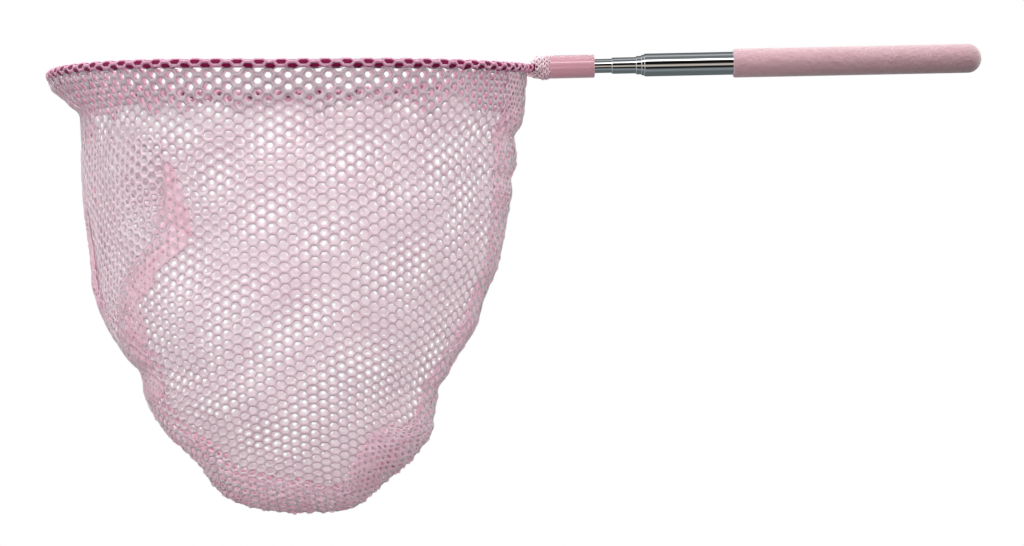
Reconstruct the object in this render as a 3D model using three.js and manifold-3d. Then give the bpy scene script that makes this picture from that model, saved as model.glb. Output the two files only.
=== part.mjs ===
import * as THREE from "three";
import { mergeVertices } from "three/addons/utils/BufferGeometryUtils.js";
import Module from "manifold-3d";

const wasm = await Module();
wasm.setup();

// Millimetres. The pole lies along X with the hoop at -X, Z is up and the bag hangs down.
// The origin is the middle of the grip, on the axis of the pole.

// Gaps between pieces
const FIXED_GAP = 0.15;
const SOFT_GAP = 0.3;

// Grip: soft sleeve, open at the front, closed by a dome at the back
const GRIP_LENGTH = 101.8;
const GRIP_FRONT_RADIUS = 5.92;
const GRIP_BACK_RADIUS = 5.96;
const GRIP_DOME_LENGTH = 5.6;
const GRIP_DOME_STEPS = 6;
const GRIP_EDGE_ROUND = 0.5;
const GRIP_END_WALL = 4.8;

// Pole: five nested tubes, each with a rolled-in nose that keeps the next one in
const TUBE_COUNT = 5;
const OUTER_TUBE_RADIUS = 4.71;
const TUBE_WALL = 0.325;
const TUBE_GAP = 0.13;
const NOSE_LENGTH = 2;
const NOSE_ROLL = 0.07;
const NOSE_EDGE_ROUND = 0.12;
const OUTER_TUBE_SHOWN = 36.5;
const NEXT_TUBES_SHOWN = [1.2, 2.2, 9.9];
const LAST_TUBE_SHOWN = 7;
const LAST_TUBE_IN_COLLAR = 9.5;
const FEET_BEFORE_PLUG = [0.3, 0.3, 8.6, 14.6];
const TUBE_SIDES = 28;

// Plug that closes the foot of the outer tube
const PLUG_LENGTH = 5;
const PLUG_FLANGE = 1;

// Friction clips: split rings of thin strip in a groove near the foot of each sliding tube
const CLIP_LENGTH = 9.7;
const CLIP_GROOVE_DEPTH = 0.17;
const CLIP_GAP = 0.05;
const CLIP_TO_FOOT = 2;
const CLIP_SPLIT_DEGREES = 50;

// Collar
const COLLAR_LENGTH = 18.6;
const COLLAR_RADIUS = 4.78;
const COLLAR_EDGE_ROUND = 0.45;
const COLLAR_MOUTH_RADIUS = 3.7;
const COLLAR_MOUTH_DEPTH = 3;

// Hoop: one round of spring wire, both ends turned out into the thinnest tube.
// It bows down at its sides, dips and tilts past the neck, and its far end is a little twisted.
const HOOP_RADIUS = 97;
const HOOP_BOW = 1.8;
const HOOP_DIP = 0.75;
const HOOP_TILT = 1.15;
const HOOP_TWIST = 2.4;
const WIRE_RADIUS = 0.9;
const WIRE_SPREAD = 1.45;
const WIRE_IN_TUBE = 8;
const NECK_ROUND = 10;
const NECK_TO_COLLAR = 0.1;
const SLEEVE_WALL = 0.3;
const HEM_WALL = 0.32;
const HOOP_STEPS = 56;
const NECK_STEPS = 8;
const HEM_FIRST_STEP = 3;
const HOOP_SIDES = 8;

// Gather: the bunched end of the hem between hoop and collar
const GATHER_SIDES = 20;
const GATHER_NARROW = 2.3;

// Bag: two panels joined by a seam along the outline seen from the side.
// A plain grid of openings stands for the fine mesh of the net.
const BAG_DEPTH = 180.3;
const NET_WALL = 0.6;
const SEAM_THICKNESS = 1;
const SEAM_WIDTH = 4;
const BAG_ROUNDNESS = 1.9;
const BAG_TAPER = 0.75;
const BAG_PINCH = 0.5;
const SEAM_ROWS = 18;
const NET_OPENINGS_ACROSS = 10;
const NET_OPENINGS_DOWN = 7;
const NET_BAR_SHARE = 0.3;
const NET_CLOSED_FOOT = 0.2;
const NET_FOOT_ROWS = 2;
// Shares of the depth, then of the hoop radius to the left and right of the hoop's middle
const BAG_OUTLINE = [
  [0.045, -0.955, 0.985],
  [0.09, -0.883, 0.972],
  [0.19, -0.876, 0.93],
  [0.3, -0.862, 0.907],
  [0.4, -0.845, 0.876],
  [0.5, -0.828, 0.812],
  [0.57, -0.775, 0.756],
  [0.65, -0.67, 0.667],
  [0.74, -0.615, 0.585],
  [0.81, -0.545, 0.565],
  [0.88, -0.41, 0.478],
  [0.95, -0.31, 0.325],
  [0.985, -0.19, 0.25],
  [0.997, -0.06, 0.17],
  [1, 0.07, 0.07],
];

const tubeRadius = (i) => OUTER_TUBE_RADIUS - i * (TUBE_WALL + TUBE_GAP);
const gripFront = -GRIP_LENGTH / 2;
const gripBack = GRIP_LENGTH / 2;
const plugEnd = gripBack - GRIP_END_WALL - SOFT_GAP;
const outerTubeFoot = plugEnd - PLUG_FLANGE - FIXED_GAP;
const plugFace = outerTubeFoot - PLUG_LENGTH;
const noses = [gripFront - OUTER_TUBE_SHOWN];
for (const shown of NEXT_TUBES_SHOWN) noses.push(noses[noses.length - 1] - shown);
const collarBack = noses[noses.length - 1] - LAST_TUBE_SHOWN;
const collarFront = collarBack - COLLAR_LENGTH;
const lastTubeTip = collarBack - LAST_TUBE_IN_COLLAR;
noses.push(lastTubeTip);
const feet = [outerTubeFoot];
for (const setback of FEET_BEFORE_PLUG) feet.push(plugFace - setback);

const sleeveBore = WIRE_RADIUS + FIXED_GAP;
const sleeveRadius = sleeveBore + SLEEVE_WALL;
const hemBore = sleeveRadius + FIXED_GAP;
const hemRadius = hemBore + HEM_WALL;

const neckCentreY = WIRE_SPREAD + NECK_ROUND;
const neckCentreX = Math.sqrt((HOOP_RADIUS + NECK_ROUND) ** 2 - neckCentreY ** 2);
const neckAngle = Math.atan2(neckCentreY, neckCentreX);
const hoopX = collarFront - NECK_TO_COLLAR - neckCentreX;
const wireEnd = lastTubeTip + WIRE_IN_TUBE - hoopX;
const lastHoopStep = 2 + 2 * NECK_STEPS + HOOP_STEPS;

const steel = { roughness: 0.15, metalness: 1 };
const soft = { roughness: 0.85, metalness: 0 };

function piece(name, geometry, colour, finish) {
  const material = new THREE.MeshStandardMaterial({ color: colour, ...finish });
  const mesh = new THREE.Mesh(geometry, material);
  mesh.name = name;
  return mesh;
}

// Turned piece along X from pairs of position and radius
function turned(profile, sides = TUBE_SIDES) {
  const points = profile.map(([x, radius]) => new THREE.Vector2(radius, x));
  const geometry = new THREE.LatheGeometry(points, sides);
  return geometry.rotateZ(-Math.PI / 2);
}

// Height of the hoop's line at a place in the plan
function hoopHeight(x, y) {
  const bow = HOOP_BOW * (y / HOOP_RADIUS) ** 2;
  const tilt = HOOP_TILT * (0.5 + (0.5 * x) / HOOP_RADIUS);
  const past = THREE.MathUtils.smoothstep(neckCentreX - x, 0, 2 * NECK_ROUND);
  const twist = HOOP_TWIST * (y / HOOP_RADIUS) * Math.max(0, -x / HOOP_RADIUS);
  return -bow - (HOOP_DIP + tilt) * past - twist;
}

function hoopPoint(step) {
  const half = lastHoopStep / 2;
  const along = step <= half ? step : lastHoopStep - step;
  const side = step <= half ? 1 : -1;
  let x;
  let y;
  if (along < 1) {
    x = wireEnd + (neckCentreX - wireEnd) * along;
    y = WIRE_SPREAD;
  } else if (along < 1 + NECK_STEPS) {
    const turn = ((along - 1) / NECK_STEPS) * (Math.PI / 2 - neckAngle);
    x = neckCentreX - NECK_ROUND * Math.sin(turn);
    y = neckCentreY - NECK_ROUND * Math.cos(turn);
  } else {
    const share = (along - 1 - NECK_STEPS) / (HOOP_STEPS / 2);
    const angle = neckAngle + share * (Math.PI - neckAngle);
    x = HOOP_RADIUS * Math.cos(angle);
    y = HOOP_RADIUS * Math.sin(angle);
  }
  return new THREE.Vector3(x, side * y, hoopHeight(x, side * y));
}

// Stretch of the hoop's centre line, sampled at whole steps
class HoopLine extends THREE.Curve {
  constructor(first, last) {
    super();
    this.first = first;
    this.last = last;
  }
  getPoint(t) {
    return hoopPoint(this.first + t * (this.last - this.first));
  }
  getPointAt(t) {
    return this.getPoint(t);
  }
  getTangentAt(t) {
    return this.getTangent(t);
  }
}

function ringPoints(radius, sides) {
  const points = [];
  for (let i = 0; i < sides; i++) {
    const angle = (i / sides) * 2 * Math.PI;
    points.push(new THREE.Vector2(radius * Math.cos(angle), radius * Math.sin(angle)));
  }
  return points;
}

function alongHoop(first, last, radius, bore) {
  const section = new THREE.Shape(ringPoints(radius, HOOP_SIDES));
  if (bore) section.holes.push(new THREE.Path(ringPoints(bore, HOOP_SIDES).reverse()));
  const extrudePath = new HoopLine(first, last);
  return new THREE.ExtrudeGeometry(section, { steps: last - first, extrudePath });
}

function solidOf(geometry) {
  const bare = new THREE.BufferGeometry();
  bare.setAttribute("position", geometry.getAttribute("position").clone());
  if (geometry.index) bare.setIndex(geometry.index.clone());
  const merged = mergeVertices(bare, 1e-4);
  return new wasm.Manifold(
    new wasm.Mesh({
      numProp: 3,
      vertProperties: Float32Array.from(merged.getAttribute("position").array),
      triVerts: Uint32Array.from(merged.index.array),
    }),
  );
}

function geometryOf(points, triangles) {
  const geometry = new THREE.BufferGeometry();
  const flat = points.flatMap((p) => [p.x, p.y, p.z]);
  geometry.setAttribute("position", new THREE.Float32BufferAttribute(flat, 3));
  geometry.setIndex(triangles);
  return geometry;
}

function geometryFrom(solid) {
  const mesh = solid.getMesh();
  const geometry = new THREE.BufferGeometry();
  const positions = Float32Array.from(mesh.vertProperties);
  geometry.setAttribute("position", new THREE.BufferAttribute(positions, 3));
  geometry.setIndex(Array.from(mesh.triVerts));
  return geometry;
}

function gripSleeve() {
  const bore = OUTER_TUBE_RADIUS + FIXED_GAP;
  const domeStart = gripBack - GRIP_DOME_LENGTH;
  const profile = [
    [gripBack - GRIP_END_WALL, 0],
    [gripBack - GRIP_END_WALL, bore],
    [gripFront, bore],
    [gripFront, GRIP_FRONT_RADIUS - GRIP_EDGE_ROUND],
    [gripFront + GRIP_EDGE_ROUND * 0.3, GRIP_FRONT_RADIUS - GRIP_EDGE_ROUND * 0.3],
    [gripFront + GRIP_EDGE_ROUND, GRIP_FRONT_RADIUS],
  ];
  for (let i = 0; i < GRIP_DOME_STEPS; i++) {
    const angle = (i / GRIP_DOME_STEPS) * (Math.PI / 2);
    profile.push([
      domeStart + GRIP_DOME_LENGTH * Math.sin(angle),
      GRIP_BACK_RADIUS * Math.cos(angle),
    ]);
  }
  profile.push([gripBack, 0]);
  return turned(profile);
}

function poleTube(i) {
  const radius = tubeRadius(i);
  const bore = radius - TUBE_WALL;
  const nose = noses[i];
  const foot = feet[i];
  const last = i === TUBE_COUNT - 1;
  const roll = last ? 0 : NOSE_ROLL;
  const profile = [
    [nose, bore - roll],
    [nose, radius - roll - NOSE_EDGE_ROUND],
    [nose + NOSE_EDGE_ROUND, radius - roll],
  ];
  if (!last) profile.push([nose + NOSE_LENGTH, radius]);
  if (i > 0) {
    const grooveBack = foot - CLIP_TO_FOOT;
    const grooveFront = grooveBack - CLIP_LENGTH - 2 * FIXED_GAP;
    profile.push(
      [grooveFront, radius],
      [grooveFront, radius - CLIP_GROOVE_DEPTH],
      [grooveBack, radius - CLIP_GROOVE_DEPTH],
      [grooveBack, radius],
    );
  }
  profile.push([foot, radius], [foot, bore]);
  if (!last) profile.push([nose + NOSE_LENGTH, bore]);
  profile.push([nose, bore - roll]);
  return turned(profile);
}

function tubeEndPlug() {
  const bore = OUTER_TUBE_RADIUS - TUBE_WALL - FIXED_GAP;
  const flange = OUTER_TUBE_RADIUS - FIXED_GAP;
  const flangeFront = plugEnd - PLUG_FLANGE;
  return turned([
    [plugFace, 0],
    [plugFace, bore],
    [flangeFront, bore],
    [flangeFront, flange],
    [plugEnd, flange],
    [plugEnd, 0],
  ]);
}

function frictionClip(i) {
  const radius = tubeRadius(i);
  const outer = radius + TUBE_GAP - CLIP_GAP;
  const inner = radius - CLIP_GROOVE_DEPTH + CLIP_GAP;
  const halfSplit = THREE.MathUtils.degToRad(CLIP_SPLIT_DEGREES / 2);
  const section = new THREE.Shape();
  section.absarc(0, 0, outer, halfSplit, 2 * Math.PI - halfSplit, false);
  section.absarc(0, 0, inner, 2 * Math.PI - halfSplit, halfSplit, true);
  const geometry = new THREE.ExtrudeGeometry(section, {
    depth: CLIP_LENGTH,
    bevelEnabled: false,
    curveSegments: TUBE_SIDES / 2,
  });
  const back = feet[i] - CLIP_TO_FOOT - FIXED_GAP;
  return geometry.rotateY(Math.PI / 2).translate(back - CLIP_LENGTH, 0, 0);
}

function collar() {
  const bore = tubeRadius(TUBE_COUNT - 1) + FIXED_GAP;
  const shoulder = collarFront + COLLAR_MOUTH_DEPTH;
  const round = COLLAR_EDGE_ROUND;
  const edge = COLLAR_RADIUS - round;
  const bend = 0.3 * round;
  return turned([
    [collarFront, COLLAR_MOUTH_RADIUS],
    [collarFront, edge],
    [collarFront + bend, COLLAR_RADIUS - bend],
    [collarFront + round, COLLAR_RADIUS],
    [collarBack - round, COLLAR_RADIUS],
    [collarBack - bend, COLLAR_RADIUS - bend],
    [collarBack, edge],
    [collarBack, bore],
    [shoulder, bore],
    [shoulder, COLLAR_MOUTH_RADIUS],
    [collarFront, COLLAR_MOUTH_RADIUS],
  ]);
}

// Bunched hem: wide and flat where the two ends of the hem come in, round at the collar
function netGather() {
  const hemEnd = hoopPoint(1 + HEM_FIRST_STEP);
  const turn = (HEM_FIRST_STEP / NECK_STEPS) * (Math.PI / 2 - neckAngle);
  const front = hemEnd.x + hemRadius * Math.sin(turn) + SOFT_GAP;
  const collarFace = collarFront - hoopX - SOFT_GAP;
  const tail = collarFront - hoopX + COLLAR_MOUTH_DEPTH - SOFT_GAP;
  const tailRadius = COLLAR_MOUTH_RADIUS - SOFT_GAP;
  const wide = hemEnd.y + hemRadius;
  const middle = 0.5 * (front + collarFace);
  const rings = [
    [front, wide, GATHER_NARROW],
    [middle, 0.5 * (wide + COLLAR_RADIUS), 0.5 * (GATHER_NARROW + COLLAR_RADIUS)],
    [collarFace, COLLAR_RADIUS, COLLAR_RADIUS],
    [collarFace, tailRadius, tailRadius],
    [tail, tailRadius, tailRadius],
  ];
  const points = [];
  for (const [x, halfWidth, halfHeight] of rings) {
    for (const p of ringPoints(1, GATHER_SIDES)) {
      points.push(new THREE.Vector3(x, halfWidth * p.x, halfHeight * p.y));
    }
  }
  const triangles = [];
  for (let ring = 0; ring + 1 < rings.length; ring++) {
    for (let i = 0; i < GATHER_SIDES; i++) {
      const next = (i + 1) % GATHER_SIDES;
      const a = ring * GATHER_SIDES + i;
      const b = ring * GATHER_SIDES + next;
      triangles.push(a, b, b + GATHER_SIDES, a, b + GATHER_SIDES, a + GATHER_SIDES);
    }
  }
  const lastRing = (rings.length - 1) * GATHER_SIDES;
  for (let i = 1; i + 1 < GATHER_SIDES; i++) {
    triangles.push(0, i + 1, i, lastRing, lastRing + i, lastRing + i + 1);
  }
  let solid = solidOf(geometryOf(points, triangles));
  const channel = WIRE_RADIUS + SOFT_GAP;
  const channelLast = 1 + NECK_STEPS;
  solid = solid.subtract(solidOf(alongHoop(0, channelLast, channel)));
  const mirrored = alongHoop(lastHoopStep - channelLast, lastHoopStep, channel);
  solid = solid.subtract(solidOf(mirrored));
  return geometryFrom(solid);
}

const bagTop = hemRadius + SOFT_GAP;
const bagLine = new THREE.CatmullRomCurve3(
  [
    new THREE.Vector3(-HOOP_RADIUS, HOOP_RADIUS, bagTop),
    ...BAG_OUTLINE.map(
      ([depth, left, right]) =>
        new THREE.Vector3(left * HOOP_RADIUS, right * HOOP_RADIUS, depth * BAG_DEPTH),
    ),
  ],
  false,
  "centripetal",
);

// Row of the bag a share of the way down its outline
function bagRow(way) {
  const { x: left, y: right, z: depth } = bagLine.getPointAt(way);
  const share = Math.max(0, Math.min(1, (depth - bagTop) / (BAG_DEPTH - bagTop)));
  const girth = HOOP_RADIUS * (1 - share ** BAG_ROUNDNESS) ** BAG_TAPER;
  return { left, right, depth, share, girth };
}

// Edges of the bars and openings of a grid in turn, as shares of its width
function gridEdges(openings) {
  const edges = [];
  for (let i = 0; i <= openings; i++) {
    edges.push(i / (openings + NET_BAR_SHARE), (i + NET_BAR_SHARE) / (openings + NET_BAR_SHARE));
  }
  return edges;
}

const panelTurns = gridEdges(NET_OPENINGS_ACROSS).map((share) => share * Math.PI);
const panelWays = gridEdges(NET_OPENINGS_DOWN).map((share) => share * (1 - NET_CLOSED_FOOT));
for (let i = 1; i <= NET_FOOT_ROWS; i++) {
  panelWays.push(1 - NET_CLOSED_FOOT * (1 - i / NET_FOOT_ROWS));
}
const panelRows = panelWays.map(bagRow);
const seamRows = [];
for (let i = 0; i <= SEAM_ROWS; i++) seamRows.push(bagRow(i / SEAM_ROWS));

// Point of the bag on a row, turned from the right-hand seam, a given distance inside
function bagPoint(row, turn, side, inside) {
  const edge = SEAM_THICKNESS / 2 + SOFT_GAP;
  const halfWidth = Math.max((row.right - row.left) / 2 - inside, 0);
  const swell = Math.max(row.girth - inside - edge, 0);
  const x = (row.left + row.right) / 2 + halfWidth * Math.cos(turn);
  const y = edge + swell * Math.sin(turn) ** (1 + BAG_PINCH * row.share);
  const rise = hoopHeight(x, side * y) * (1 - row.share);
  const z = -row.depth * (1 - inside / BAG_DEPTH) + rise;
  return new THREE.Vector3(x, side * y, z);
}

function netPanel(side) {
  const points = [];
  const triangles = [];
  const lastRow = panelRows.length - 1;
  const lastColumn = panelTurns.length - 1;
  const layer = lastRow * panelTurns.length + 1;
  for (const inside of [0, NET_WALL]) {
    for (const row of panelRows.slice(0, lastRow)) {
      for (const turn of panelTurns) points.push(bagPoint(row, turn, side, inside));
    }
    points.push(bagPoint(panelRows[lastRow], 0, side, inside));
  }
  const at = (row, column) => (row < lastRow ? row * panelTurns.length + column : layer - 1);
  const open = (row, column) => row < 2 * NET_OPENINGS_DOWN && row % 2 === 1 && column % 2 === 1;
  const put = (a, b, c) => triangles.push(...(side < 0 ? [a, b, c] : [a, c, b]));
  const wall = (a, b) => {
    put(a, b, layer + b);
    put(a, layer + b, layer + a);
  };
  for (let row = 0; row < lastRow; row++) {
    for (let column = 0; column < lastColumn; column++) {
      const a = at(row, column);
      const b = at(row, column + 1);
      const c = at(row + 1, column + 1);
      const d = at(row + 1, column);
      if (row === 0) wall(b, a);
      if (open(row, column)) {
        wall(a, b);
        wall(b, c);
        wall(c, d);
        wall(d, a);
        continue;
      }
      put(a, b, c);
      put(layer + a, layer + c, layer + b);
      if (c === d) continue;
      put(a, c, d);
      put(layer + a, layer + d, layer + c);
    }
    wall(at(row, 0), at(row + 1, 0));
    wall(at(row + 1, lastColumn), at(row, lastColumn));
  }
  return geometryOf(points, triangles);
}

function bagSeam() {
  const outline = (inside) => {
    const left = seamRows.map((row) => bagPoint(row, Math.PI, 1, inside));
    const right = seamRows.slice(0, -1).map((row) => bagPoint(row, 0, 1, inside));
    return [...left, ...right.reverse()].map((p) => new THREE.Vector2(p.x, p.z));
  };
  const strip = new THREE.Shape([...outline(0), ...outline(SEAM_WIDTH).reverse()]);
  const geometry = new THREE.ExtrudeGeometry(strip, {
    depth: SEAM_THICKNESS,
    bevelEnabled: false,
  });
  return geometry.rotateX(Math.PI / 2).translate(0, SEAM_THICKNESS / 2, 0);
}

const pole = new THREE.Group();
pole.name = "pole";
pole.add(piece("grip_sleeve", gripSleeve(), "#d9a3ad", soft));
pole.add(piece("tube_end_plug", tubeEndPlug(), "#e8e4e0", soft));
for (let i = 0; i < TUBE_COUNT; i++) {
  pole.add(piece(`pole_tube_${i + 1}`, poleTube(i), "#c9ccd1", steel));
  if (i > 0) pole.add(piece(`friction_clip_${i + 1}`, frictionClip(i), "#b08a4a", steel));
}
pole.add(piece("collar", collar(), "#dfa0ac", { roughness: 0.25, metalness: 0 }));

const hoop = new THREE.Group();
hoop.name = "hoop";
hoop.position.x = hoopX;
const hemFirst = 1 + HEM_FIRST_STEP;
const hemLast = lastHoopStep - hemFirst;
hoop.add(piece("hoop_wire", alongHoop(0, lastHoopStep, WIRE_RADIUS), "#b9bcc2", steel));
const sleeve = alongHoop(hemFirst, hemLast, sleeveRadius, sleeveBore);
hoop.add(piece("hoop_sleeve", sleeve, "#a01254", { roughness: 0.4, metalness: 0 }));
hoop.add(piece("net_hem", alongHoop(hemFirst, hemLast, hemRadius, hemBore), "#e6b9c6", soft));
hoop.add(piece("net_gather", netGather(), "#ecd0d8", soft));

const bag = new THREE.Group();
bag.name = "bag";
bag.add(piece("net_panel_front", netPanel(-1), "#ebcbd5", soft));
bag.add(piece("net_panel_back", netPanel(1), "#ebcbd5", soft));
bag.add(piece("bag_seam", bagSeam(), "#d99fb0", soft));
hoop.add(bag);

const net = new THREE.Group();
net.name = "telescopic_dip_net";
net.add(pole, hoop);

export default net;
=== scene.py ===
import math
from bisect import bisect
from functools import lru_cache

import bmesh
import bpy
from mathutils import Matrix, Vector, noise


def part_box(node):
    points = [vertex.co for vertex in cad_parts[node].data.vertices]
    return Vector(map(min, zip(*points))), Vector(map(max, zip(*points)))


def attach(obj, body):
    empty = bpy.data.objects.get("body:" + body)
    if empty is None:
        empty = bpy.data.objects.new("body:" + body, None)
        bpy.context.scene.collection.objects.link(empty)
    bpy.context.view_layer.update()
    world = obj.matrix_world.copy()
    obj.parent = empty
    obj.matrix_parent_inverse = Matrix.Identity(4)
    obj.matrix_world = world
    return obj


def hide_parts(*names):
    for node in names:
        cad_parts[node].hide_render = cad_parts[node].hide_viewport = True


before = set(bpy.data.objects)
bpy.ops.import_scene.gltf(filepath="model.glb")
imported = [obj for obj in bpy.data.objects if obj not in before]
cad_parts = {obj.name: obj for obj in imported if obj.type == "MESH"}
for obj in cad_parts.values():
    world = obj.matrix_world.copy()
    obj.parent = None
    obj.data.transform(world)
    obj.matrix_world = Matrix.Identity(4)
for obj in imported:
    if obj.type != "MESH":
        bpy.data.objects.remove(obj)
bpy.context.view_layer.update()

scene = bpy.context.scene
scene.view_settings.view_transform = "Standard"

MM = 0.001
YARN_SEED = 7
noise.seed_set(YARN_SEED)  # without it, noise_vector would set the yarns differently each run

# Sizes of the hoop, the bag and the pole, in millimetres
HOOP_RADIUS = 97
HOOP_BOW = 1.8
FRONT_LIFT = 0.5  # how much less the near side is bowed
HOOP_DIP = 0.75
HOOP_TILT = 1.15
HOOP_TWIST = 2.4
WIRE_SPREAD = 1.45
NECK_ROUND = 10
NECK_TURN_SHARE = 0.375
SLEEVE_RADIUS = 1.35
COVER_RADIUS = 1.58
HEM_RADIUS = 1.72
BAG_DEPTH = 180.3
BAG_FLOOR = 0.3  # the net stops this far above the bottom
BAG_TOP = 1.9
BAG_ROUNDNESS = 1.9
BAG_TAPER = 0.75
BAG_PINCH = 0.5
SEAM_SIDE = 0.8
COLLAR_RADIUS = 4.78
COLLAR_BORE = 3.04
COLLAR_MOUTH = 3.7
COLLAR_MOUTH_DEPTH = 3
COLLAR_FRONT_LIP = 0.6
COLLAR_BACK_LIP = 0.5
OUTER_TUBE_RADIUS = 4.71
TUBE_STEP = 0.455
TUBE_WALL = 0.325
NOSE_LENGTH = 1.2
NOSE_DROP = 0.26
NOSE_ROLL = 0.07
NOSE_THROAT = 2
CLIP_GROOVE_DEPTH = 0.17
CLIP_GROOVE_START = 12  # from the foot of the tube, as is its end
CLIP_GROOVE_END = 2
GRIP_FRONT_RADIUS = 5.92
GRIP_BACK_RADIUS = 5.96
GRIP_DOME = 5.6
GRIP_CLEARANCE = 0.15
GRIP_END_WALL = 4.8
GRIP_LIP = 0.6

# Fineness of the made shapes
TURN_STEPS = 96
TURN_RIM = 40  # an edge stays sharp past this many degrees
YARN_RIM = 80  # the same, for yarn that is to look crisp
NECK_STEPS = 12
HOOP_STEPS = 240
SECTION_STEPS = 120
TICKS = 4  # sections of the bag to a millimetre of depth
WELD = 1e-6  # metres

# Knit of the net: flat-topped hexagons, wider than tall
CELL_ACROSS = 7.85
CELL_DOWN = 4.6
YARN_WIDTH = 1.8
YARN_HEIGHT = 0.32
YARN_STRAY = 0.35
BACK_YARN_WIDTH = 3  # wider than the near panel's, for the haze of net behind net
HOLE_STRETCH = 1.1
HOLE_CORNERS = 0.84
HOLE_SIDES = 1.03
DROOP = 12  # how much lower a row of cells hangs at the seams
DROOP_POWER = 1.6
NET_MIDDLE = 4
HEM_CELLS = 73
HEM_ROUNDS = 3
HEM_START = math.pi * 0.88
HEM_YARN_WIDTH = 1.5
HEM_YARN_HEIGHT = 0.35
TURNED_INSIDE = 1.9
TURNED_DEPTH = 15
TURNED_UNEVEN = 7
SEAM_OVERLAP = 3
PANEL_SPARE = 20  # the flat knit is this much wider than half the hoop
LEAST_SECTION = 12  # no cells where the bag is narrower than this

# Billows of a panel: their sizes along x, y and depth, the start of their noise, and how far they swell
BILLOWS = [((34, 40, 46), 3, 3.2), ((13, 15, 17), 7, 0.9)]
FREE_TOP = 30  # a panel is held at its edges and is free to billow this far from them
FREE_SIDE = 20
FREE_FOOT = 25
WANDER_SIZE = 6

# Bunched net at the neck: how far it stands out of the collar and goes in, its size when flat
GATHER_OUTSIDE = 9.2
GATHER_INSIDE = 2.2
GATHER_NECK = 0.8  # the share of its length past which it narrows into the collar
GATHER_LENGTH = 22
GATHER_ROUND = 36
GATHER_ROWS = 13

# Pleat in the front panel: the middle line of its fold, as depth and distance from the hoop's middle
PLEAT_LINE = [
    (28, -40), (44, -41.2), (61, -41.6), (71.5, -45.6), (77, -52), (86, -58.4), (96, -61.6),
    (108, -61.1), (118, -58.7), (127, -57),
]
PLEAT_FOLD = 6
PLEAT_TOP = 30
PLEAT_FOOT = 132
PLEAT_RISE = 45  # the pleat leaves the panel over this length from the left seam
FOLD_TOP = 36
FOLD_POINT = 24

# Net squeezed at the seam: its width by degrees round the bag from the bottom, about a point SEAM_EYE
# below the hoop; SEAM_FLAT is its width before it is squeezed
SEAM_EYE = 60
SEAM_FLAT = 18
SEAM_AHEAD = 7
SEAM_SWAY = 0.7
SEAM_YARN_HEIGHT = 0.3
SEAM_WIDTHS = [
    (-125, 2.5), (-95, 3), (-62, 5), (-46, 7), (-32, 6), (-23, 9), (-15, 11.5), (-8, 13.5), (1, 13),
    (6, 10.5), (10, 10.5), (15, 13), (20, 16.5), (25, 17), (30, 12), (35, 7), (50, 5), (84, 6),
    (110, 8), (125, 6),
]

# The seam line as hung: depth below the hoop and distance from the hoop's middle
LEFT_EDGE = [
    (2, -97.4), (5, -96.4), (8.5, -92), (11.7, -89.4), (14.5, -85.7), (18, -84.3), (28, -84.4),
    (35, -84.9), (53, -84.6), (71, -82.9), (90, -81.2), (102, -76.6), (115, -68.7), (121, -63.5),
    (133, -61.1), (146, -53.5), (158, -41.5), (171, -31.9), (177.2, -20.5), (179.6, -7.5),
    (BAG_DEPTH, 7),
]
RIGHT_EDGE = [
    (2, 97), (8, 96.3), (16, 95.6), (22, 94.4), (26.5, 91.2), (32, 91.8), (39.5, 91.6), (43, 89.6),
    (50, 90), (56.4, 88.5), (68.7, 86.2), (81, 83.1), (93, 77.9), (105, 74), (112, 69.6), (120, 64.2),
    (126, 61.2), (129.5, 58.2), (134, 57.6), (142, 56), (148, 55.2), (154, 51.1), (160, 45.7),
    (166, 38.6), (172, 31.5), (178, 23.6), (179.6, 18), (BAG_DEPTH, 7),
]

collar_low, collar_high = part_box("collar")
neck_y = WIRE_SPREAD + NECK_ROUND
neck_x = math.sqrt((HOOP_RADIUS + NECK_ROUND) ** 2 - neck_y ** 2)
neck_angle = math.atan2(neck_y, neck_x)
HOOP_X = (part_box("hoop_sleeve")[0][0] / MM) + HOOP_RADIUS + SLEEVE_RADIUS


def linear(code):
    """An sRGB hex colour as linear light."""
    parts = [int(code[i:i + 2], 16) / 255 for i in (1, 3, 5)]
    return [c / 12.92 if c <= 0.04045 else ((c + 0.055) / 1.055) ** 2.4 for c in parts] + [1]


def add(tree, kind, sockets=None, **settings):
    """Adds a node, sets it, and fills or links its sockets by name or number."""
    made = tree.nodes.new("ShaderNode" + kind)
    for name, value in settings.items():
        setattr(made, name, value)
    for name, value in (sockets or {}).items():
        if isinstance(value, bpy.types.NodeSocket):
            tree.links.new(value, made.inputs[name])
        else:
            made.inputs[name].default_value = value
    return made


def new_material(name):
    """A bare material with its tree, surface shader and object coordinates."""
    material = bpy.data.materials.new(name)
    material.use_nodes = True
    tree = material.node_tree
    tree.nodes.clear()
    shader = add(tree, "BsdfPrincipled")
    add(tree, "OutputMaterial", {"Surface": shader.outputs[0]})
    place = add(tree, "TexCoord").outputs["Object"]
    return material, tree, shader, place


def put(bm, name, material, body, rim=0):
    """Makes the object of a finished mesh, riding on a body; edges past rim degrees stay sharp."""
    mesh = bpy.data.meshes.new(name)
    bm.to_mesh(mesh)
    bm.free()
    mesh.materials.append(material)
    for face in mesh.polygons:
        face.use_smooth = True
    if rim:
        mesh.set_sharp_from_angle(angle=math.radians(rim))
    made = bpy.data.objects.new(name, mesh)
    scene.collection.objects.link(made)
    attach(made, body)
    return made


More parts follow.
